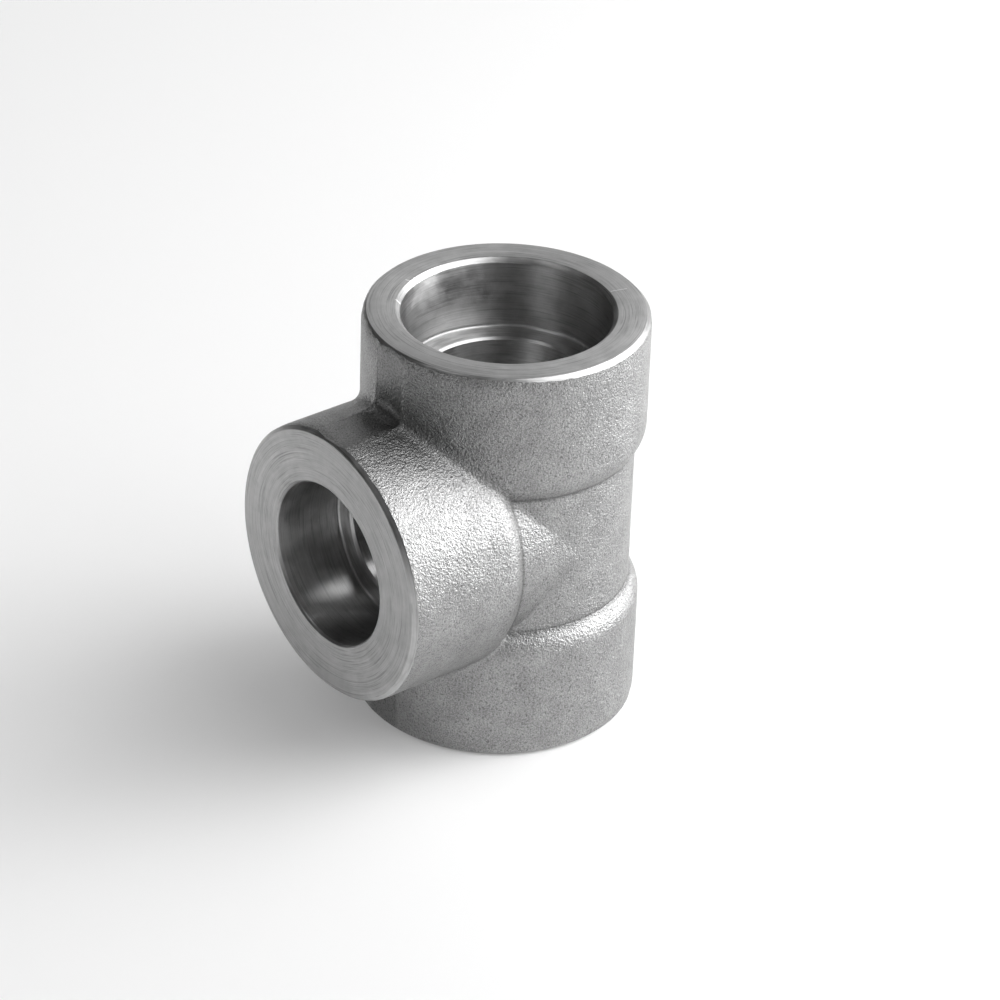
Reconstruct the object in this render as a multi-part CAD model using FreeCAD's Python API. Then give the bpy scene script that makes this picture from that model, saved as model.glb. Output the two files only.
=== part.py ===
import FreeCAD, Part
import math
import os

os.makedirs("parts", exist_ok=True)

# A forged socket weld reducing tee, in millimetres. The straight run stands upright, and the
# smaller branch points along +X. The origin is the centre of the run's lower end face.

# Machined sizes: the pipe of each outlet slides into its socket and stops on a ledge.
run_centre_to_end = 35.0
run_socket_radius = 16.95
run_socket_depth = 12.5
run_bore_radius = 13.2
branch_centre_to_end = 35.0
branch_socket_radius = 13.6
branch_socket_depth = 12.5
branch_bore_radius = 10.3

# Small turned edges
run_mouth_chamfer = 0.75
branch_mouth_chamfer = 0.4
ledge_corner_break = 0.4
bore_edge_chamfer = 0.4
end_face_chamfer = 0.8

# Forged outside: three equal collars on a slimmer waist
collar_wall = 6.15
collar_step = 1.7
shoulder_from_centre = 12.4
shoulder_length = 2.4
shoulder_round = 2.4
crotch_radius = 1.6
waist_crease_radius = 1.6

# The flash is sheared off along the parting plane, which leaves a narrow flat all round.
flash_flat_depth = 0.2
flash_corner_radius = 2.2

Vector = FreeCAD.Vector
centre = Vector(0, 0, 0)
along_run = Vector(0, 0, 1)
along_branch = Vector(1, 0, 0)
across = Vector(0, 1, 0)

collar_radius = run_socket_radius + collar_wall
waist_radius = collar_radius - collar_step
cutter_margin = 1.0


def revolved(outline):
    """Solid made by turning a closed outline in the XZ plane about Z."""
    face = Part.Face(Part.Wire(outline))
    return face.revolve(centre, along_run, 360)


def edges_through(points):
    """Straight edges from point to point, given as radius and height."""
    corners = [Vector(radius, 0, height) for radius, height in points]
    return [Part.makeLine(start, end) for start, end in zip(corners, corners[1:])]


def turned_to_branch(shape):
    """Copy of a shape made along +Z, laid down along +X."""
    copy = shape.copy()
    copy.rotate(centre, across, 90)
    return copy


def on_lower_end(shape):
    """Copy of a shape made on the upper end, mirrored to the lower end."""
    return shape.mirror(centre, along_run)


def collar(end_height):
    """One collar along +Z, from its rounded shoulder to the end face."""
    turn = math.atan2(collar_step, shoulder_length)
    shoulder_top = shoulder_from_centre + shoulder_length
    tangent_length = shoulder_round * math.tan(turn / 2)
    sagitta = shoulder_round / math.cos(turn / 2) - shoulder_round
    round_start = (
        collar_radius - tangent_length * math.sin(turn),
        shoulder_top - tangent_length * math.cos(turn),
    )
    round_end = (collar_radius, shoulder_top + tangent_length)
    rounded = Part.Arc(
        Vector(round_start[0], 0, round_start[1]),
        Vector(
            collar_radius - sagitta * math.cos(turn / 2),
            0,
            shoulder_top + sagitta * math.sin(turn / 2),
        ),
        Vector(round_end[0], 0, round_end[1]),
    ).toShape()
    sunk_radius = waist_radius - cutter_margin
    sunk_height = shoulder_from_centre - cutter_margin * shoulder_length / collar_step
    lower = edges_through([
        (0, sunk_height),
        (sunk_radius, sunk_height),
        round_start,
    ])
    upper = edges_through([
        round_end,
        (collar_radius, end_height),
        (0, end_height),
        (0, sunk_height),
    ])
    return revolved(lower + [rounded] + upper)


def middle(edge):
    return edge.valueAt((edge.FirstParameter + edge.LastParameter) / 2)


def crease_edges(solid, nearest, farthest):
    """Edges in the two mitre planes between run and branch, picked by their distance along X."""
    found = []
    for edge in solid.Edges:
        point = middle(edge)
        if nearest < point.x < farthest and math.isclose(point.x, abs(point.z), abs_tol=1e-3):
            found.append(edge)
    return found


def forging():
    """The outside as it leaves the dies, without the flash."""
    run_waist = Part.makeCylinder(waist_radius, 2 * run_centre_to_end,
                                  Vector(0, 0, -run_centre_to_end), along_run)
    branch_waist = Part.makeCylinder(waist_radius, branch_centre_to_end, centre, along_branch)
    run_collar = collar(run_centre_to_end)
    branch_collar = turned_to_branch(collar(branch_centre_to_end))
    solid = run_waist.fuse([branch_waist, run_collar, on_lower_end(run_collar), branch_collar])
    solid = solid.removeSplitter()
    solid = solid.makeFillet(crotch_radius, crease_edges(solid, shoulder_from_centre, collar_radius + 1))
    return solid.makeFillet(waist_crease_radius, crease_edges(solid, 0.3, shoulder_from_centre))


def trimming_die():
    """Straight prism across the parting plane, shaped like the trimming die that shears the flash."""
    collar_line = collar_radius - flash_flat_depth
    waist_line = waist_radius - flash_flat_depth
    shoulder_top = shoulder_from_centre + shoulder_length
    run_end = run_centre_to_end + cutter_margin
    branch_end = branch_centre_to_end + cutter_margin
    outline = Part.Wire(edges_through([
        (-collar_line, -run_end),
        (-collar_line, -shoulder_top),
        (-waist_line, -shoulder_from_centre),
        (-waist_line, shoulder_from_centre),
        (-collar_line, shoulder_top),
        (-collar_line, run_end),
        (collar_line, run_end),
        (collar_line, collar_line),
        (branch_end, collar_line),
        (branch_end, -collar_line),
        (collar_line, -collar_line),
        (collar_line, -run_end),
        (-collar_line, -run_end),
    ]))
    half_thickness = collar_radius + cutter_margin
    face = Part.Face(outline)
    face.translate(across * -half_thickness)
    prism = face.extrude(across * (2 * half_thickness))
    crotch_edges = [edge for edge in prism.Edges if math.isclose(middle(edge).x, collar_line, abs_tol=1e-4)
                    and math.isclose(abs(middle(edge).z), collar_line, abs_tol=1e-4)]
    return prism.makeFillet(flash_corner_radius, crotch_edges)


def socket_cutter(end_height, socket_radius, socket_depth, mouth_chamfer, bore_radius):
    """Boring tool along +Z: mouth chamfer, socket wall, flat ledge with its corner, and bore edge."""
    ledge_height = end_height - socket_depth
    bore_edge_height = ledge_height - bore_edge_chamfer
    return revolved(edges_through([
        (0, bore_edge_height),
        (0, end_height + cutter_margin),
        (socket_radius + mouth_chamfer + cutter_margin, end_height + cutter_margin),
        (socket_radius, end_height - mouth_chamfer),
        (socket_radius, ledge_height + ledge_corner_break),
        (socket_radius - ledge_corner_break, ledge_height),
        (bore_radius + bore_edge_chamfer, ledge_height),
        (bore_radius, bore_edge_height),
        (0, bore_edge_height),
    ]))


def end_edge_cutter(end_height):
    """Ring that turns the outer edge of an end face down to a 45 degree chamfer."""
    return revolved(edges_through([
        (collar_radius - end_face_chamfer - cutter_margin, end_height + cutter_margin),
        (collar_radius + cutter_margin, end_height + cutter_margin),
        (collar_radius + cutter_margin, end_height - end_face_chamfer - cutter_margin),
        (collar_radius - end_face_chamfer - cutter_margin, end_height + cutter_margin),
    ]))


def machining():
    """Everything that is turned or bored out of the trimmed forging."""
    run_socket = socket_cutter(run_centre_to_end, run_socket_radius, run_socket_depth,
                               run_mouth_chamfer, run_bore_radius)
    branch_socket = socket_cutter(branch_centre_to_end, branch_socket_radius, branch_socket_depth,
                                  branch_mouth_chamfer, branch_bore_radius)
    run_edge = end_edge_cutter(run_centre_to_end)
    branch_edge = end_edge_cutter(branch_centre_to_end)
    run_bore = Part.makeCylinder(run_bore_radius, 2 * run_centre_to_end,
                                 Vector(0, 0, -run_centre_to_end), along_run)
    branch_bore = Part.makeCylinder(branch_bore_radius, branch_centre_to_end, centre, along_branch)
    return [
        run_edge, on_lower_end(run_edge), turned_to_branch(branch_edge),
        run_socket, on_lower_end(run_socket), turned_to_branch(branch_socket),
        run_bore, branch_bore,
    ]


tee = forging().common(trimming_die())
for cutter in machining():
    tee = tee.cut(cutter)
tee = tee.removeSplitter().Solids[0]
tee.translate(along_run * run_centre_to_end)
tee.exportStep("parts/tee_body.step")
print("tee_body volume", round(tee.Volume, 1), "valid", tee.isValid(), "faces", len(tee.Faces))
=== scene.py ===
import math

import bmesh
import bpy
from mathutils import Matrix, Vector, noise


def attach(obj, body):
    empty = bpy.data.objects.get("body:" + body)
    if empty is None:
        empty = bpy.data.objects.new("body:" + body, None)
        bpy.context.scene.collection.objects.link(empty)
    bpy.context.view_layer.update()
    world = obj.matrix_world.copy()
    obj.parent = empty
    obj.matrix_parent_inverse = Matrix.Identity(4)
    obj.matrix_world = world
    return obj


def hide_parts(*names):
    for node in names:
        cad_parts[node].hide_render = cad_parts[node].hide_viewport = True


# A forged steel socket weld reducing tee. The run stands upright along +Z, and the branch points along +X.
# The meshes are shaped in millimetres about the point where the two axes cross, then brought to metres.

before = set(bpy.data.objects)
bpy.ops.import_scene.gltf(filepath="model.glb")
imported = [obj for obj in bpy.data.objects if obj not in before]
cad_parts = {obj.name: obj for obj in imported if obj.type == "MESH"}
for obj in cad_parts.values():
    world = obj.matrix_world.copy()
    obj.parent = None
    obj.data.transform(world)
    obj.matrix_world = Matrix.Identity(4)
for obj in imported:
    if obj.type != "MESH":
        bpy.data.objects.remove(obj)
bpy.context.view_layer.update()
millimetre = 0.001
centreHeight = 35.0  # of the crossing above the floor
weldDistance = 0.004  # mm, points closer than this are made one

# The forging

forging = {  # mm
    "collarRadius": 23.1,
    "waistRadius": 21.4,
    "shoulderFoot": 12.2,
    "shoulderLength": 2.6,
    "shoulderRound": 5.0,
    "blankEnd": 35.6,  # a little stock is left on each end for facing
    "creaseBlend": 2.2,
    "creaseReach": 27,  # the creases end nearer to the crossing than this
    "flatDepth": 0.2,  # the flat that the trimming die leaves along the parting plane
    "flatWander": 0.7,  # share by which its depth varies
    "flatWanderLength": 6,
    "edgeLoss": 0.12,  # the dies fill the outer corners of the collars badly
    "edgeReach": 3.1,
    "edgeCurve": 2.2,  # how sharply that loss grows towards the end
    "branchRim": 26,  # the branch's collar lies beyond this
    "rootShadeAbove": 0.1,  # painted shade at the root of a shoulder, which lies just above its foot
    "rootShadeWidth": 0.42,
}


def skinRadius(height):
    # radius of the forged skin round its own axis, from the crossing out to the end
    height = abs(height)
    step = forging["collarRadius"] - forging["waistRadius"]
    turn = math.atan2(step, forging["shoulderLength"])
    top = forging["shoulderFoot"] + forging["shoulderLength"]
    roundSize = forging["shoulderRound"]
    tangent = roundSize * math.tan(turn / 2)
    roundStart = top - tangent * math.cos(turn)
    roundEnd = top + tangent
    if height <= forging["shoulderFoot"]:
        return forging["waistRadius"]
    if height <= roundStart:
        return forging["waistRadius"] + (height - forging["shoulderFoot"]) * math.tan(turn)
    if height < roundEnd:
        return forging["collarRadius"] - roundSize + math.sqrt(roundSize**2 - (roundEnd - height) ** 2)
    return forging["collarRadius"]


skinRows = {  # mm, how finely the skin is cut along an arm, and the steps round it
    "steps": 288,
    "rowLength": 0.5,
    "shoulderTop": 16.4,  # the shoulder and the rim have finer rows
    "shoulderRowLength": 0.3,
    "rimStart": 31.6,
    "rimRowLength": 0.33,
}


def makeArm():
    # one collar and half of the waist, spun about Z and cut off at the plane where run and branch meet
    bm = bmesh.new()
    stops = [0.0, forging["shoulderFoot"], skinRows["shoulderTop"], skinRows["rimStart"],
             forging["blankEnd"]]
    rowLengths = [skinRows[key] for key in ("rowLength", "shoulderRowLength", "rowLength", "rimRowLength")]
    heights = [0.0]
    for lower, upper, rowLength in zip(stops, stops[1:], rowLengths):
        rows = round((upper - lower) / rowLength)
        heights += [lower + (upper - lower) * row / rows for row in range(1, rows + 1)]
    verts = [bm.verts.new((forging["waistRadius"], 0, height)) for height in heights]
    for lower, upper in zip(verts, verts[1:]):
        bm.edges.new((lower, upper))
    bmesh.ops.spin(bm, geom=bm.verts[:] + bm.edges[:], cent=(0, 0, 0), axis=(0, 0, 1),
                   angle=math.tau, steps=skinRows["steps"], use_merge=True)
    nearMitre = 0.2
    for vert in bm.verts:
        angle = math.atan2(vert.co.y, vert.co.x)
        height = vert.co.z
        radius = skinRadius(height)
        if abs(radius * math.cos(angle) - height) < nearMitre and height > 0.01:
            for attempt in range(6):  # slide onto the mitre plane, so that the cut leaves no slivers
                height = skinRadius(height) * math.cos(angle)
            radius = skinRadius(height)
        vert.co = (radius * math.cos(angle), radius * math.sin(angle), height)
    bmesh.ops.bisect_plane(bm, geom=bm.verts[:] + bm.edges[:] + bm.faces[:], dist=weldDistance / 2,
                           plane_co=(0, 0, 0), plane_no=(1, 0, -1), clear_outer=True)
    return bm


def makeForging():
    bm = makeArm()
    # the branch is the mirror image of the front of the run across the mitre plane
    front = [face for face in bm.faces if all(vert.co.x > -0.001 for vert in face.verts)]
    copied = bmesh.ops.duplicate(bm, geom=front)["geom"]
    copiedVerts = [item for item in copied if isinstance(item, bmesh.types.BMVert)]
    swap = Matrix(((0, 0, 1, 0), (0, 1, 0, 0), (1, 0, 0, 0), (0, 0, 0, 1)))
    bmesh.ops.transform(bm, matrix=swap, verts=copiedVerts)
    bmesh.ops.remove_doubles(bm, verts=bm.verts, dist=weldDistance)
    bmesh.ops.mirror(bm, geom=bm.verts[:] + bm.edges[:] + bm.faces[:], matrix=Matrix.Identity(4),
                     merge_dist=weldDistance, axis="Z")
    bmesh.ops.remove_doubles(bm, verts=bm.verts, dist=weldDistance)
    return bm


def outsideArm(co, axial):
    # how far a point is outside the trimmed skin of the run (axial 2) or branch (axial 0), and the way out
    across = 2 - axial
    radius = math.hypot(co[across], co.y)
    skin = skinRadius(co[axial])
    # the trimming die cuts flats along y = 0, whose edges wander a little, each side in its own way
    strip = Vector((co[axial] / forging["flatWanderLength"], math.copysign(4, co[across]), axial))
    wander = 1 + forging["flatWander"] * abs(noise.noise(strip))
    flat = abs(co[across]) - skin + forging["flatDepth"] * wander
    away = Vector((0, 0, 0))
    if flat > radius - skin:
        away[across] = math.copysign(1, co[across])
        return flat, away
    away[across] = co[across] / radius
    away.y = co.y / radius
    return radius - skin, away


def creaseBlend(co):
    # size of the rounding between the arms, which fades out where both skins face the same way
    facing = co.y**2 / max(math.hypot(co.x, co.y) * math.hypot(co.y, co.z), 1.0)
    return forging["creaseBlend"] * (1 - min(facing, 1.0)) + 0.0001


def roundCreases(bm):
    close = set()
    margin = 1.3  # the finer faces reach a little past the rounding
    for vert in bm.verts:
        if vert.co.x > 0 and max(vert.co.x, abs(vert.co.z)) < forging["creaseReach"]:
            gap = outsideArm(vert.co, 2)[0] - outsideArm(vert.co, 0)[0]
            if abs(gap) < creaseBlend(vert.co) * margin:
                close.add(vert)
    edges = [edge for edge in bm.edges if edge.verts[0] in close and edge.verts[1] in close]
    bmesh.ops.subdivide_edges(bm, edges=edges, cuts=1, use_grid_fill=True)
    for vert in bm.verts:
        for attempt in range(4):
            run, runAway = outsideArm(vert.co, 2)
            if vert.co.x <= 0:
                vert.co -= runAway * run
                continue
            branch, branchAway = outsideArm(vert.co, 0)
            blend = creaseBlend(vert.co)
            share = min(max(0.5 + 0.5 * (branch - run) / blend, 0.0), 1.0)
            level = run * share + branch * (1 - share) - blend * share * (1 - share)
            slope = runAway * share + branchAway * (1 - share)
            vert.co -= slope * (level / max(slope.length_squared, 0.1))


edgeLosses = [  # arm, heading round its axis in degrees, width in degrees, extra depth in mm
    ("top", -42, 38, 0.75), ("top", 150, 30, 0.25), ("top", 20, 32, 0.70), ("top", 54, 19, 0.5),
    ("bottom", 140, 40, 0.6), ("bottom", 10, 40, 0.3),
    ("branch", 104, 40, 0.42), ("branch", -80, 45, 0.2),
]


def edgeLoss(co):
    # how much metal is missing at the rim of each collar
    if co.x > forging["branchRim"]:
        arm, height = "branch", co.x
        heading = math.degrees(math.atan2(co.z, co.y))
    else:
        arm, height = "top" if co.z > 0 else "bottom", abs(co.z)
        heading = math.degrees(math.atan2(co.y, co.x))
    nearness = 1 - (forging["blankEnd"] - height) / forging["edgeReach"]
    if nearness <= 0:
        return 0.0
    depth = forging["edgeLoss"]
    for lossArm, middle, width, extra in edgeLosses:
        if lossArm == arm:
            turn = (heading - middle + 180) % 360 - 180
            depth += extra * math.exp(-((turn / width) ** 2))
    return depth * nearness ** forging["edgeCurve"]


crotch = {  # mm, what the trimming die leaves in each crotch
    "from": 18,
    "halfWidth": 8,
    "middle": -0.4,
    "hollowDepth": 0.32,
    "hollowSize": 3.0,
    "ridgeHeight": 0.18,
    "ridgeAside": 3.8,
    "ridgeWidth": 0.55,
    "ridgeLength": 3.2,
}


def crotchMark(co):
    # the trimming die leaves a small hollow in each crotch, with a low ridge at either side
    if min(co.x, abs(co.z)) < crotch["from"] or abs(co.y) > crotch["halfWidth"]:
        return 0.0
    side = co.y - crotch["middle"]
    along = (abs(co.z) - co.x) / math.sqrt(2)
    size = crotch["hollowSize"]
    hollow = crotch["hollowDepth"] * math.exp(-(((side / size) ** 2 + (along / size) ** 2) ** 2))
    ridgeSide = (abs(side) - crotch["ridgeAside"]) / crotch["ridgeWidth"]
    ridge = crotch["ridgeHeight"] * math.exp(-(ridgeSide**2) - (along / crotch["ridgeLength"]) ** 2)
    return hollow - ridge


waves = {  # mm, the unevenness of the forged skin
    "depth": 0.05,
    "broadLength": 9.0,
    "fineLength": 2.6,
    "raggedLength": 1.1,
    "raggedDepth": 0.035,
    "raggedLimit": 0.16,
    "flatFrom": 30,  # the end faces stay flat until they are faced
}


def addForgeWaves(bm):
    bm.normal_update()
    shifts = []
    for vert in bm.verts:  # the noises are read apart from each other, so that they don't line up
        broad = noise.noise(vert.co / waves["broadLength"])
        fine = noise.noise(vert.co / waves["fineLength"] + Vector((31, 7, 5)))
        ragged = noise.noise(vert.co / waves["raggedLength"] + Vector((3, 17, 9)))
        loss = edgeLoss(vert.co)
        depth = waves["depth"] * (0.5 + 0.35 * broad + 0.25 * fine) + loss * (1 + 0.25 * broad)
        raggedDepth = min(waves["raggedDepth"] + loss, waves["raggedLimit"])
        shifts.append(max(depth, 0.0) + max(ragged, 0.0) * raggedDepth + crotchMark(vert.co))
    for vert, shift in zip(bm.verts, shifts):
        away = vert.normal.copy()
        if max(vert.co.x, abs(vert.co.z)) > waves["flatFrom"]:
            away[0 if vert.co.x > waves["flatFrom"] else 2] = 0
            away.normalize()
        vert.co -= away * shift


def closeEnds(bm):
    rims = [edge for edge in bm.edges if edge.is_boundary]
    bmesh.ops.holes_fill(bm, edges=rims, sides=0)
    bmesh.ops.recalc_face_normals(bm, faces=bm.faces)


# The machining

outlets = {  # mm, and degrees from +Z towards +X
    "run": {"socketRadius": 16.95, "boreRadius": 13.2, "mouthChamfer": 0.75, "turn": 0},
    "branch": {"socketRadius": 13.6, "boreRadius": 10.3, "mouthChamfer": 0.4, "turn": 90},
    "lower": {"socketRadius": 16.95, "boreRadius": 13.2, "mouthChamfer": 0.75, "turn": 180},
}
machining = {  # mm
    "endHeight": 35.0,
    "socketDepth": 12.5,
    "cornerRound": 0.45,
    "cornerRelief": 0.07,  # a shallow groove in the socket's wall, where the tool stops on the ledge
    "reliefTop": 0.6,  # above the ledge, where the groove starts to run out
    "reliefEnd": 0.75,
    "boreEdge": 0.4,
    "boreEdgeRound": 0.1,
    "mouthRound": 0.08,
    "endChamfer": 0.8,
    "endRound": 0.12,
    "overlap": 0.5,  # the cuts run on past each other inside the tee
    "clearance": 3,
    "stockRadius": 30,
    "steps": 240,
    "sharpAngle": 28,  # degrees, an edge that turns more than this stays crisp
}
turnedSlot = {"run": 1, "lower": 1, "branch": 2}
boredSlot = {"run": 3, "lower": 3, "branch": 4}


def meshObject(bm, name):
    mesh = bpy.data.meshes.new(name)
    bm.to_mesh(mesh)
    bm.free()
    piece = bpy.data.objects.new(name, mesh)
    bpy.context.collection.objects.link(piece)
    return piece


def makeCutter(name):
    # everything that the lathe takes off at one outlet, spun about Z: facing, chamfers, socket and bore
    outlet = outlets[name]
    end = machining["endHeight"]
    ledge = end - machining["socketDepth"]
    socket = outlet["socketRadius"]
    relief = socket + machining["cornerRelief"]
    bore = outlet["boreRadius"]
    mouth = outlet["mouthChamfer"]
    faceEdge = forging["collarRadius"] - machining["endChamfer"]
    clearance = machining["clearance"]
    stock = machining["stockRadius"]
    # the branch's cut starts inside the run's bore, and the two cuts of the run overlap in the middle
    inner = machining["overlap"] if name == "branch" else -machining["overlap"]
    # radius and height of the points that are rounded
    boreRim = (bore + machining["boreEdge"], ledge)
    socketCorner = (relief, ledge)
    mouthFoot = (socket, end - mouth)
    mouthRim = (socket + mouth, end)
    faceRim = (faceEdge, end)
    points = [
        (0, inner), (bore, inner), (bore, ledge - machining["boreEdge"]), boreRim, socketCorner,
        (relief, ledge + machining["reliefTop"]), (socket, ledge + machining["reliefEnd"]),
        mouthFoot, mouthRim, faceRim, (faceEdge + clearance, end - clearance),
        (stock, end - clearance), (stock, end + clearance), (0, end + clearance),
    ]
    bm = bmesh.new()
    verts = [bm.verts.new((radius, 0, height)) for radius, height in points]
    for first, second in zip(verts, verts[1:]):
        bm.edges.new((first, second))
    for point, size, segments in [
        (socketCorner, machining["cornerRound"], 4), (boreRim, machining["boreEdgeRound"], 2),
        (mouthFoot, machining["mouthRound"], 2), (mouthRim, machining["mouthRound"], 2),
        (faceRim, machining["endRound"], 2),
    ]:
        radius, height = point
        corner = [vert for vert in bm.verts if abs(vert.co.x - radius) + abs(vert.co.z - height) < 0.001]
        bmesh.ops.bevel(bm, geom=corner, offset=size, offset_type="OFFSET", segments=segments,
                        profile=0.5, affect="VERTICES", material=-1)
    bmesh.ops.spin(bm, geom=bm.verts[:] + bm.edges[:], cent=(0, 0, 0), axis=(0, 0, 1),
                   angle=math.tau, steps=machining["steps"], use_merge=True)
    bmesh.ops.remove_doubles(bm, verts=bm.verts, dist=0.001)
    bmesh.ops.recalc_face_normals(bm, faces=bm.faces)
    margin = 0.05
    for face in bm.faces:
        middle = face.calc_center_median()
        outer = math.hypot(middle.x, middle.y)
        deep = middle.z < end - mouth - margin and outer < socket + margin
        face.material_index = boredSlot[name] if deep else turnedSlot[name]
    turn = Matrix.Rotation(math.radians(outlet["turn"]), 3, "Y")
    bmesh.ops.rotate(bm, verts=bm.verts, cent=(0, 0, 0), matrix=turn)
    return meshObject(bm, name + "Cutter")


def makeTee(materials):
    bm = makeForging()
    print("forging arms joined:", len(bm.faces), "faces")
    roundCreases(bm)
    closeEnds(bm)
    addForgeWaves(bm)
    openEdges = sum(not edge.is_manifold for edge in bm.edges)
    print("forging closed:", len(bm.faces), "faces, open edges", openEdges)
    tee = meshObject(bm, "forgedTee")
    for material in materials:
        tee.data.materials.append(material)
    cutters = [makeCutter(name) for name in outlets]
    for cutter in cutters:
        for material in materials:
            cutter.data.materials.append(material)
        cut = tee.modifiers.new(cutter.name, "BOOLEAN")
        cut.operation = "DIFFERENCE"
        cut.solver = "EXACT"
        cut.object = cutter
        cut.material_mode = "INDEX"
    evaluated = tee.evaluated_get(bpy.context.evaluated_depsgraph_get())
    finished = bpy.data.meshes.new_from_object(evaluated)
    tee.modifiers.clear()
    tee.data = finished
    for cutter in cutters:
        bpy.data.objects.remove(cutter)
    bm = bmesh.new()
    bm.from_mesh(finished)
    bmesh.ops.translate(bm, verts=bm.verts, vec=(0, 0, centreHeight))
    bmesh.ops.scale(bm, verts=bm.verts, vec=(millimetre, millimetre, millimetre))
    for face in bm.faces:
        face.smooth = True
    bm.to_mesh(finished)
    triangles = sum(len(face.verts) - 2 for face in bm.faces)
    print("tee machined:", len(bm.faces), "faces,", triangles, "triangles")
    bm.free()
    finished.set_sharp_from_angle(angle=math.radians(machining["sharpAngle"]))
    markRootShade(finished)
    return tee


def markRootShade(mesh):
    # how close each point of the skin lies to the narrow root of a shoulder, where painted shade is laid
    attribute = mesh.attributes.new("rootShadeWeight", "FLOAT", "POINT")
    inside = -1.5  # mm, a point deeper than this belongs to a socket or bore
    root = forging["shoulderFoot"] + forging["rootShadeAbove"]
    for index, vert in enumerate(mesh.vertices):
        co = vert.co / millimetre - Vector((0, 0, centreHeight))
        run = outsideArm(co, 2)[0]
        branch = outsideArm(co, 0)[0] if co.x > 0 else math.inf
        if min(run, branch) < inside:
            continue
        height = abs(co.z) if run < branch else co.x
        attribute.data[index].value = math.exp(-(((height - root) / forging["rootShadeWidth"]) ** 2))


# Materials


def colour(code):
    # sRGB hex to the linear values that the shader takes
    channels = [int(code[i:i + 2], 16) / 255 for i in (1, 3, 5)]
    return [c / 12.92 if c <= 0.04045 else ((c + 0.055) / 1.055) ** 2.4 for c in channels] + [1.0]


def addNode(tree, kind, sockets=None, **settings):
    node = tree.nodes.new(kind)
    for key, value in settings.items():
        setattr(node, key, value)
    for key, value in (sockets or {}).items():
        if isinstance(value, bpy.types.NodeSocket):
            tree.links.new(value, node.inputs[key])
        else:
            node.inputs[key].default_value = value
    return node


def newMaterial(name):
    material = bpy.data.materials.new(name)
    material.use_nodes = True
    material.node_tree.nodes.clear()
    return material, material.node_tree


forgedLook = {  # sizes in mm
    "light": "#B2B2B2",
    "dark": "#8A8A8A",
    # dark specks, partly scale left in the pits and partly painted shade in them
    "pit": "#474747",
    # the colour of the painted shade at the roots of the shoulders
    "root": "#2E2E2E",
    "roughness": 0.40,
    "grainSize": 0.24,  # the finest dents of the shot, drawn coarse enough to show at one pixel
    "grainDepth": 0.15,
    "dimpleSize": 0.46,
    "dimpleShare": 0.7,  # of the grain's depth
    "rippleSize": 1.5,
    "rippleShare": 0.6,
    "patchSize": 4.0,  # soft patches between the light and the dark grey
    "grainShadeAndLightRange": (0.34, 0.64),  # of the grain's noise
    "grainShadeAndLight": (0.74, 1.17),  # painted shade in the grain's hollows and painted light on its tops, as factors on the tone
    "pitSize": 0.34,
    "pitRange": (0.56, 0.73),
    "pitStrength": 0.58,
    "rootShadeStrength": 0.5,
    "bandHalf": 3.5,  # half width of the band that the trimming die shears
    "bandMiddle": -0.35,
    "bandWander": 1.6,
    "bandFade": (0.3, 0.1),  # inside and outside of its edge
    "bandStep": 0.10,
    "bandGrain": 0.4,  # share of the grain that is left on it
    "bandShade": 0.78,
}


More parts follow.
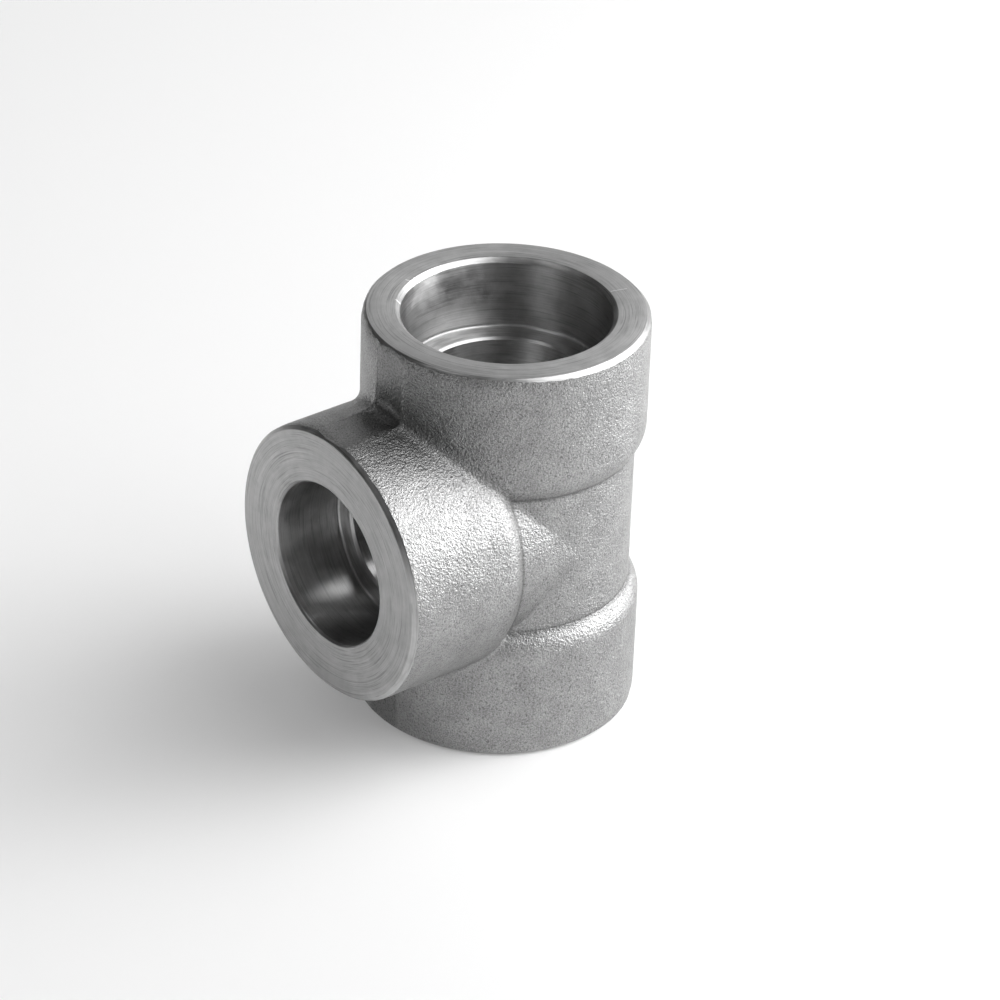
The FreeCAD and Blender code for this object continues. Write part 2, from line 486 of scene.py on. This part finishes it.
def buildForged():
    # Forged carbon steel, shot blasted: a dull grey skin of fine dents and small dark pits, which glitters
    # where the light strikes it. The dents' hollows carry painted shade and their tops painted light; the
    # dark pits are partly scale and partly painted shade, and the roots of the shoulders carry painted
    # shade. The band along y = 0 was sheared by the trimming die, so it is smoother and darker.
    look = forgedLook
    material, tree = newMaterial("shotBlastedForgedSteel")
    place = addNode(tree, "ShaderNodeTexCoord").outputs["Object"]
    perMillimetre = 1 / millimetre
    grain = addNode(tree, "ShaderNodeTexNoise", {
        "Vector": place, "Scale": perMillimetre / look["grainSize"], "Detail": 1.5, "Roughness": 0.6})
    dimples = addNode(tree, "ShaderNodeTexVoronoi", {
        "Vector": place, "Scale": perMillimetre / look["dimpleSize"]}, feature="SMOOTH_F1")
    ripple = addNode(tree, "ShaderNodeTexNoise", {
        "Vector": place, "Scale": perMillimetre / look["rippleSize"], "Detail": 2.0})
    patch = addNode(tree, "ShaderNodeTexNoise", {
        "Vector": place, "Scale": perMillimetre / look["patchSize"], "Detail": 3.0})
    height = addNode(tree, "ShaderNodeMath", {
        0: dimples.outputs["Distance"], 1: look["dimpleShare"], 2: grain.outputs[0]},
        operation="MULTIPLY_ADD")
    height = addNode(tree, "ShaderNodeMath", {
        0: ripple.outputs[0], 1: look["rippleShare"], 2: height.outputs[0]}, operation="MULTIPLY_ADD")

    # 0 on the sheared band and 1 on the blasted skin, with an edge that wanders with the ripple
    parts = addNode(tree, "ShaderNodeSeparateXYZ", {0: place})
    offset = addNode(tree, "ShaderNodeMath", {
        0: parts.outputs["Y"], 1: look["bandMiddle"] * millimetre}, operation="SUBTRACT")
    aside = addNode(tree, "ShaderNodeMath", {0: offset.outputs[0]}, operation="ABSOLUTE")
    wander = addNode(tree, "ShaderNodeMath", {
        0: ripple.outputs[0], 1: look["bandWander"] * millimetre, 2: aside.outputs[0]},
        operation="MULTIPLY_ADD")
    edge = (look["bandHalf"] + look["bandWander"] / 2) * millimetre
    fadeIn, fadeOut = look["bandFade"]
    blasted = addNode(tree, "ShaderNodeMapRange", {
        "Value": wander.outputs[0], "From Min": edge - fadeIn * millimetre,
        "From Max": edge + fadeOut * millimetre})
    strength = addNode(tree, "ShaderNodeMapRange", {
        "Value": blasted.outputs[0], "To Min": look["bandGrain"], "To Max": 1.0})
    step = addNode(tree, "ShaderNodeBump", {
        "Height": blasted.outputs[0], "Distance": look["bandStep"] * millimetre})
    bump = addNode(tree, "ShaderNodeBump", {
        "Height": height.outputs[0], "Strength": strength.outputs[0],
        "Distance": look["grainDepth"] * millimetre, "Normal": step.outputs[0]})

    tone = addNode(tree, "ShaderNodeMixRGB", {
        "Fac": patch.outputs[0], "Color1": colour(look["dark"]), "Color2": colour(look["light"])})
    # painted shade and light: the grain's hollows are darkened and its tops lightened
    grainShadeAndLight = addNode(tree, "ShaderNodeMapRange", {
        "Value": grain.outputs[0], "From Min": look["grainShadeAndLightRange"][0], "From Max": look["grainShadeAndLightRange"][1],
        "To Min": look["grainShadeAndLight"][0], "To Max": look["grainShadeAndLight"][1]})
    tone = addNode(tree, "ShaderNodeMixRGB", {
        "Fac": 1.0, "Color1": tone.outputs[0], "Color2": grainShadeAndLight.outputs[0]}, blend_type="MULTIPLY")
    # dark specks: partly scale left in the pits, partly painted shade in them
    speck = addNode(tree, "ShaderNodeTexNoise", {
        "Vector": place, "Scale": perMillimetre / look["pitSize"], "Detail": 1.0})
    pitShadeAndScale = addNode(tree, "ShaderNodeMapRange", {
        "Value": speck.outputs[0], "From Min": look["pitRange"][0], "From Max": look["pitRange"][1],
        "To Max": look["pitStrength"]})
    tone = addNode(tree, "ShaderNodeMixRGB", {
        "Fac": pitShadeAndScale.outputs[0], "Color1": tone.outputs[0], "Color2": colour(look["pit"])})
    bandShade = addNode(tree, "ShaderNodeMapRange", {
        "Value": blasted.outputs[0], "To Min": look["bandShade"], "To Max": 1.0})
    tone = addNode(tree, "ShaderNodeMixRGB", {
        "Fac": 1.0, "Color1": tone.outputs[0], "Color2": bandShade.outputs[0]}, blend_type="MULTIPLY")
    # painted shade: near the root of each shoulder the skin is darkened towards the root colour
    depth = addNode(tree, "ShaderNodeAttribute", attribute_name="rootShadeWeight")
    rootShade = addNode(tree, "ShaderNodeMath", {
        0: depth.outputs["Fac"], 1: look["rootShadeStrength"]}, operation="MULTIPLY")
    tone = addNode(tree, "ShaderNodeMixRGB", {
        "Fac": rootShade.outputs[0], "Color1": tone.outputs[0], "Color2": colour(look["root"])})
    shader = addNode(tree, "ShaderNodeBsdfPrincipled", {
        "Base Color": tone.outputs[0], "Metallic": 1.0, "Roughness": look["roughness"],
        "Normal": bump.outputs[0]})
    addNode(tree, "ShaderNodeOutputMaterial", {"Surface": shader.outputs[0]})
    return material


latheLook = {  # what turning and boring share, sizes in mm
    "heightShare": 1.7,  # not 1, so that the rings don't run together on the 45 degree chamfers
    "arcStretch": (0.8, 2.4, 2.4),
    "arcRange": (0.54, 0.64),
    "smudgeSize": 3.2,
    "smudgeRange": (0.3, 0.7),
    "haze": (0.84, 1.06),
    "roughnessSpread": (-0.05, 0.07),
}
turnedLook = latheLook | {
    "base": "#D2D2D2",
    "line": "#9A9A9A",
    "mark": "#5A5A5A",
    "marks": 0.38,
    "roughness": 0.38,
    "spread": 0.35,  # how far the rings draw a highlight out
    "feed": 0.18,  # the tool's feed for each turn
    "depth": 0.008,
}
boredLook = latheLook | {
    "base": "#D4D4D4",
    "line": "#A2A2A2",
    "mark": "#6E6E6E",
    "marks": 0.3,
    "roughness": 0.34,
    "spread": 0.90,
    "feed": 0.45,  # drawn coarser than the boring bar's real feed, so that the rings show
    "depth": 0.004,
}
scratches = {  # sizes in mm
    "from": 34.2,  # height above the crossing, at the foot of the mouth's chamfer
    "core": 0.05,  # half width of the bright middle, and of the whole scratch
    "edge": 0.17,
    "colour": "#EFEFEF",
    "depth": 4.0,  # in depths of a turned ring
    # heading in degrees, and the radii where it starts and ends
    "marks": [(164, 17.9, 20.8), (-67, 16.9, 18.5), (-71, 16.9, 17.8), (-45, 16.9, 17.9)],
}


def buildScratches(tree, place, height):
    # short marks of handling across the end face and its mouth
    onFace = addNode(tree, "ShaderNodeMath", {
        0: height, 1: scratches["from"] * millimetre}, operation="GREATER_THAN")
    mask = 0.0
    for heading, inner, outer in scratches["marks"]:
        direction = Vector((math.cos(math.radians(heading)), math.sin(math.radians(heading)), 0))
        along = addNode(tree, "ShaderNodeVectorMath", {0: place, 1: direction}, operation="DOT_PRODUCT")
        side = addNode(tree, "ShaderNodeVectorMath", {
            0: place, 1: direction.cross((0, 0, 1))}, operation="DOT_PRODUCT")
        aside = addNode(tree, "ShaderNodeMath", {0: side.outputs["Value"]}, operation="ABSOLUTE")
        line = addNode(tree, "ShaderNodeMapRange", {
            "Value": aside.outputs[0], "From Min": scratches["core"] * millimetre,
            "From Max": scratches["edge"] * millimetre, "To Min": 1.0, "To Max": 0.0})
        within = addNode(tree, "ShaderNodeMath", {
            0: along.outputs["Value"], 1: (inner + outer) / 2 * millimetre,
            2: (outer - inner) / 2 * millimetre}, operation="COMPARE")
        mask = addNode(tree, "ShaderNodeMath", {
            0: line.outputs[0], 1: within.outputs[0], 2: mask}, operation="MULTIPLY_ADD").outputs[0]
    return addNode(tree, "ShaderNodeMath", {0: mask, 1: onFace.outputs[0]}, operation="MULTIPLY").outputs[0]


def buildMachined(name, look, turn, scratched=False):
    # Bright steel, turned or bored on a lathe: fine rings round the outlet's axis, left by the tool's feed,
    # draw each highlight out across themselves, with thin dark arcs where the cut tore the steel and soft
    # smudges.
    material, tree = newMaterial(name)
    place = addNode(tree, "ShaderNodeTexCoord").outputs["Object"]
    centred = addNode(tree, "ShaderNodeMapping", {
        "Vector": place, "Location": (0, 0, -centreHeight * millimetre)})
    upright = addNode(tree, "ShaderNodeMapping", {
        "Vector": centred.outputs[0], "Rotation": (0, math.radians(-turn), 0)})
    parts = addNode(tree, "ShaderNodeSeparateXYZ", {0: upright.outputs[0]})
    flat = addNode(tree, "ShaderNodeCombineXYZ", {0: parts.outputs[0], 1: parts.outputs[1]})
    radius = addNode(tree, "ShaderNodeVectorMath", {0: flat.outputs[0]}, operation="LENGTH")
    heading = addNode(tree, "ShaderNodeVectorMath", {0: flat.outputs[0]}, operation="NORMALIZE")
    headingParts = addNode(tree, "ShaderNodeSeparateXYZ", {0: heading.outputs[0]})
    along = addNode(tree, "ShaderNodeMath", {
        0: parts.outputs[2], 1: look["heightShare"], 2: radius.outputs["Value"]}, operation="MULTIPLY_ADD")
    track = addNode(tree, "ShaderNodeMath", {
        0: along.outputs[0], 1: 1 / (look["feed"] * millimetre)}, operation="MULTIPLY")
    groove = addNode(tree, "ShaderNodeCombineXYZ", {
        0: track.outputs[0], 1: headingParts.outputs[0], 2: headingParts.outputs[1]})
    rings = addNode(tree, "ShaderNodeTexNoise", {
        "Vector": groove.outputs[0], "Scale": 1.0, "Detail": 2.0, "Roughness": 0.7})
    stretched = addNode(tree, "ShaderNodeMapping", {
        "Vector": groove.outputs[0], "Scale": look["arcStretch"]})
    arcs = addNode(tree, "ShaderNodeTexNoise", {
        "Vector": stretched.outputs[0], "Scale": 1.0, "Detail": 3.0, "Roughness": 0.6})
    arcMask = addNode(tree, "ShaderNodeMapRange", {
        "Value": arcs.outputs[0], "From Min": look["arcRange"][0], "From Max": look["arcRange"][1],
        "To Max": look["marks"]})
    smudge = addNode(tree, "ShaderNodeTexNoise", {
        "Vector": place, "Scale": 1 / (look["smudgeSize"] * millimetre), "Detail": 4.0, "Roughness": 0.65})
    smudgeLow, smudgeHigh = look["smudgeRange"]

    tone = addNode(tree, "ShaderNodeMixRGB", {
        "Fac": rings.outputs[0], "Color1": colour(look["line"]), "Color2": colour(look["base"])})
    tone = addNode(tree, "ShaderNodeMixRGB", {
        "Fac": arcMask.outputs[0], "Color1": tone.outputs[0], "Color2": colour(look["mark"])})
    haze = addNode(tree, "ShaderNodeMapRange", {
        "Value": smudge.outputs[0], "From Min": smudgeLow, "From Max": smudgeHigh,
        "To Min": look["haze"][0], "To Max": look["haze"][1]})
    tone = addNode(tree, "ShaderNodeMixRGB", {
        "Fac": 1.0, "Color1": tone.outputs[0], "Color2": haze.outputs[0]}, blend_type="MULTIPLY")
    height = rings.outputs[0]
    if scratched:
        marks = buildScratches(tree, upright.outputs[0], parts.outputs[2])
        tone = addNode(tree, "ShaderNodeMixRGB", {
            "Fac": marks, "Color1": tone.outputs[0], "Color2": colour(scratches["colour"])})
        height = addNode(tree, "ShaderNodeMath", {
            0: marks, 1: -scratches["depth"], 2: height}, operation="MULTIPLY_ADD").outputs[0]
    roughness = addNode(tree, "ShaderNodeMapRange", {
        "Value": smudge.outputs[0], "From Min": smudgeLow, "From Max": smudgeHigh,
        "To Min": look["roughness"] + look["roughnessSpread"][0],
        "To Max": look["roughness"] + look["roughnessSpread"][1]})
    bump = addNode(tree, "ShaderNodeBump", {
        "Height": height, "Strength": 1.0, "Distance": look["depth"] * millimetre})
    axis = (math.sin(math.radians(turn)), 0, math.cos(math.radians(turn)))
    ringWay = addNode(tree, "ShaderNodeVectorMath", {
        0: axis, 1: centred.outputs[0]}, operation="CROSS_PRODUCT")
    shader = addNode(tree, "ShaderNodeBsdfPrincipled", {
        "Base Color": tone.outputs[0], "Metallic": 1.0, "Roughness": roughness.outputs[0],
        "Anisotropic": look["spread"], "Anisotropic Rotation": 0.25, "Tangent": ringWay.outputs[0],
        "Normal": bump.outputs[0]})
    addNode(tree, "ShaderNodeOutputMaterial", {"Surface": shader.outputs[0]})
    return material


materials = [
    buildForged(),
    buildMachined("turnedSteelRun", turnedLook, 0, scratched=True),
    buildMachined("turnedSteelBranch", turnedLook, 90),
    buildMachined("boredSteelRun", boredLook, 0),
    buildMachined("boredSteelBranch", boredLook, 90),
]
print("materials built:", len(materials))
tee = makeTee(materials)
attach(tee, "root")
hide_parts("tee_body")

# Stage


def towards(azimuth, elevation):
    azimuth, elevation = math.radians(azimuth), math.radians(elevation)
    level = math.cos(elevation)
    return Vector((math.cos(azimuth) * level, math.sin(azimuth) * level, math.sin(elevation)))


stage = {
    "floorRadius": 4.0,  # m
    "floorColour": 0.88,
    "floorLift": 0.20,  # how far the floor, as seen, goes towards plain white
    "ambient": 0.05,
    "paleWalls": [(165, 15, 1.48), (105, 15, 0.80)],  # azimuth, elevation and brightness
    "wallFalloff": 3.0,
    "lamps": [  # name, direction, distance in m, width and height in m, direction of the width, power in W
        ("rightSoftbox", Vector((-0.56, 0.39, 0.73)), 0.55, 0.84, 0.44, Vector((1.0, 0.48, 0.52)), 3.3),
        ("lowPanel", towards(150, 14), 0.5, 0.28, 0.25, towards(60, 0), 1.8),
        ("frontStrip", towards(-18, 62), 0.6, 0.12, 0.24, towards(72, 0), 0.18),
        ("backPanel", towards(230, 30), 0.6, 0.6, 0.4, towards(140, 0), 0.4),
    ],
}


def makeFloor():
    # plain pale paint, which the camera and mirroring metal see a little lighter than it is lit
    bm = bmesh.new()
    bmesh.ops.create_circle(bm, cap_ends=True, segments=96, radius=stage["floorRadius"])
    floor = meshObject(bm, "studioFloor")
    material, tree = newMaterial("palePaintedFloor")
    path = addNode(tree, "ShaderNodeLightPath")
    seen = addNode(tree, "ShaderNodeMath", {
        0: path.outputs["Is Camera Ray"], 1: path.outputs["Is Glossy Ray"]}, operation="MAXIMUM")
    seen = addNode(tree, "ShaderNodeMath", {
        0: seen.outputs[0], 1: path.outputs["Is Transmission Ray"]}, operation="MAXIMUM")
    lift = addNode(tree, "ShaderNodeMath", {0: seen.outputs[0], 1: stage["floorLift"]}, operation="MULTIPLY")
    paint = addNode(tree, "ShaderNodeBsdfDiffuse", {"Color": (stage["floorColour"],) * 3 + (1,)})
    white = addNode(tree, "ShaderNodeEmission", {"Color": (1, 1, 1, 1), "Strength": 1.0})
    both = addNode(tree, "ShaderNodeMixShader", {
        0: lift.outputs[0], 1: paint.outputs[0], 2: white.outputs[0]})
    addNode(tree, "ShaderNodeOutputMaterial", {"Surface": both.outputs[0]})
    floor.data.materials.append(material)


def makeLamp(name, direction, distance, width, height, longSide, power):
    # a rectangular area light that faces the middle of the tee
    direction = direction.normalized()
    side = (longSide - direction * longSide.dot(direction)).normalized()
    light = bpy.data.lights.new(name, "AREA")
    light.shape = "RECTANGLE"
    light.size = width
    light.size_y = height
    light.energy = power
    lamp = bpy.data.objects.new(name, light)
    basis = Matrix((side, direction.cross(side), direction)).transposed()
    position = direction * distance + Vector((0, 0, centreHeight * millimetre))
    lamp.matrix_world = Matrix.Translation(position) @ basis.to_4x4()
    bpy.context.collection.objects.link(lamp)


def makeWorld():
    # a dim room with pale walls beside the object
    world = bpy.data.worlds.new("studio")
    bpy.context.scene.world = world
    world.use_nodes = True
    tree = world.node_tree
    tree.nodes.clear()
    place = addNode(tree, "ShaderNodeTexCoord").outputs["Generated"]
    strength = stage["ambient"]
    for azimuth, elevation, brightness in stage["paleWalls"]:
        facing = addNode(tree, "ShaderNodeVectorMath", {
            0: place, 1: towards(azimuth, elevation)}, operation="DOT_PRODUCT")
        front = addNode(tree, "ShaderNodeMath", {0: facing.outputs["Value"], 1: 0.0}, operation="MAXIMUM")
        falloff = addNode(tree, "ShaderNodeMath", {
            0: front.outputs[0], 1: stage["wallFalloff"]}, operation="POWER")
        strength = addNode(tree, "ShaderNodeMath", {
            0: falloff.outputs[0], 1: brightness, 2: strength}, operation="MULTIPLY_ADD").outputs[0]
    background = addNode(tree, "ShaderNodeBackground", {"Color": (1, 1, 1, 1), "Strength": strength})
    addNode(tree, "ShaderNodeOutputWorld", {"Surface": background.outputs[0]})


makeFloor()
makeWorld()
for lamp in stage["lamps"]:
    makeLamp(*lamp)
print("stage lit:", len(stage["lamps"]), "lamps")

# Camera, at the photograph's viewing angle

view = {
    "azimuth": 50.681,  # degrees
    "elevation": 31.122,
    "roll": -2.037,
    "shift": (0.037, 0.297, 702.357),  # mm, of the crossing to the right, up and away
    "focal": 4324.061,  # in pixels
    "pictureWidth": 1000,  # in pixels
    "sensor": 36,  # mm
    "clipEnd": 50,  # m
}


def makeCamera():
    azimuth, elevation, roll = (math.radians(view[key]) for key in ("azimuth", "elevation", "roll"))
    back = towards(view["azimuth"], view["elevation"])
    right = Vector((-math.sin(azimuth), math.cos(azimuth), 0))
    up = back.cross(right)
    rolled = Matrix.Rotation(roll, 3, "Z") @ Matrix((right, up, back))
    x, y, z = view["shift"]
    position = rolled.transposed() @ Vector((-x, -y, z)) + Vector((0, 0, centreHeight))
    data = bpy.data.cameras.new("camera")
    data.sensor_width = view["sensor"]
    data.lens = view["focal"] * view["sensor"] / view["pictureWidth"]
    data.clip_end = view["clipEnd"]
    camera = bpy.data.objects.new("camera", data)
    camera.matrix_world = Matrix.Translation(position * millimetre) @ rolled.transposed().to_4x4()
    bpy.context.collection.objects.link(camera)
    bpy.context.scene.camera = camera


makeCamera()
bpy.context.scene.view_settings.view_transform = "Standard"
